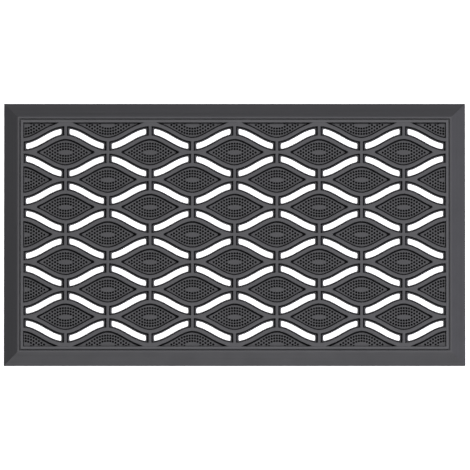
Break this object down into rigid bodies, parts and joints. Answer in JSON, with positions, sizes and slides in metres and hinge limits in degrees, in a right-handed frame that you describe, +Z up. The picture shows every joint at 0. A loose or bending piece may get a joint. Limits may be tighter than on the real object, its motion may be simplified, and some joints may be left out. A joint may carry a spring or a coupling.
{
  "type": "door mat",
  "caption": "Openwork black rubber door mat: sloped border, raised bead and staggered ribbed eyes with pitted pads and curved drain slots between them.",
  "frame": {"origin": "middle of the underside, on the floor", "axes": "+X along the long side, +Y from the front edge to the back edge, +Z up out of the tread face"},
  "size_m": [0.7, 0.4, 0.009],
  "materials": {
    "border_rubber": "semi-matte moulded rubber with faint lengthwise streaks",
    "bead_rubber": "satin moulded rubber",
    "lattice_rubber": "satin moulded rubber, fine grain"
  },
  "bodies": {
    "root": {"bead_back": "bead_rubber", "bead_front": "bead_rubber", "bead_left": "bead_rubber", "bead_right": "bead_rubber", "border_back": "border_rubber", "border_front": "border_rubber", "border_left": "border_rubber", "border_right": "border_rubber", "corner_eye_r1_c1": "lattice_rubber", "corner_eye_r1_c6": "lattice_rubber", "corner_eye_r9_c1": "lattice_rubber", "corner_eye_r9_c6": "lattice_rubber", "eye_r2_c1": "lattice_rubber", "eye_r2_c2": "lattice_rubber", "eye_r2_c3": "lattice_rubber", "eye_r2_c4": "lattice_rubber", "eye_r2_c5": "lattice_rubber", "eye_r3_c2": "lattice_rubber", "eye_r3_c3": "lattice_rubber", "eye_r3_c4": "lattice_rubber", "eye_r3_c5": "lattice_rubber", "eye_r4_c1": "lattice_rubber", "eye_r4_c2": "lattice_rubber", "eye_r4_c3": "lattice_rubber", "eye_r4_c4": "lattice_rubber", "eye_r4_c5": "lattice_rubber", "eye_r5_c2": "lattice_rubber", "eye_r5_c3": "lattice_rubber", "eye_r5_c4": "lattice_rubber", "eye_r5_c5": "lattice_rubber", "eye_r6_c1": "lattice_rubber", "eye_r6_c2": "lattice_rubber", "eye_r6_c3": "lattice_rubber", "eye_r6_c4": "lattice_rubber", "eye_r6_c5": "lattice_rubber", "eye_r7_c2": "lattice_rubber", "eye_r7_c3": "lattice_rubber", "eye_r7_c4": "lattice_rubber", "eye_r7_c5": "lattice_rubber", "eye_r8_c1": "lattice_rubber", "eye_r8_c2": "lattice_rubber", "eye_r8_c3": "lattice_rubber", "eye_r8_c4": "lattice_rubber", "eye_r8_c5": "lattice_rubber", "half_eye_r1_c2": "lattice_rubber", "half_eye_r1_c3": "lattice_rubber", "half_eye_r1_c4": "lattice_rubber", "half_eye_r1_c5": "lattice_rubber", "half_eye_r3_c1": "lattice_rubber", "half_eye_r3_c6": "lattice_rubber", "half_eye_r5_c1": "lattice_rubber", "half_eye_r5_c6": "lattice_rubber", "half_eye_r7_c1": "lattice_rubber", "half_eye_r7_c6": "lattice_rubber", "half_eye_r9_c2": "lattice_rubber", "half_eye_r9_c3": "lattice_rubber", "half_eye_r9_c4": "lattice_rubber", "half_eye_r9_c5": "lattice_rubber"}
  },
  "joints": []
}
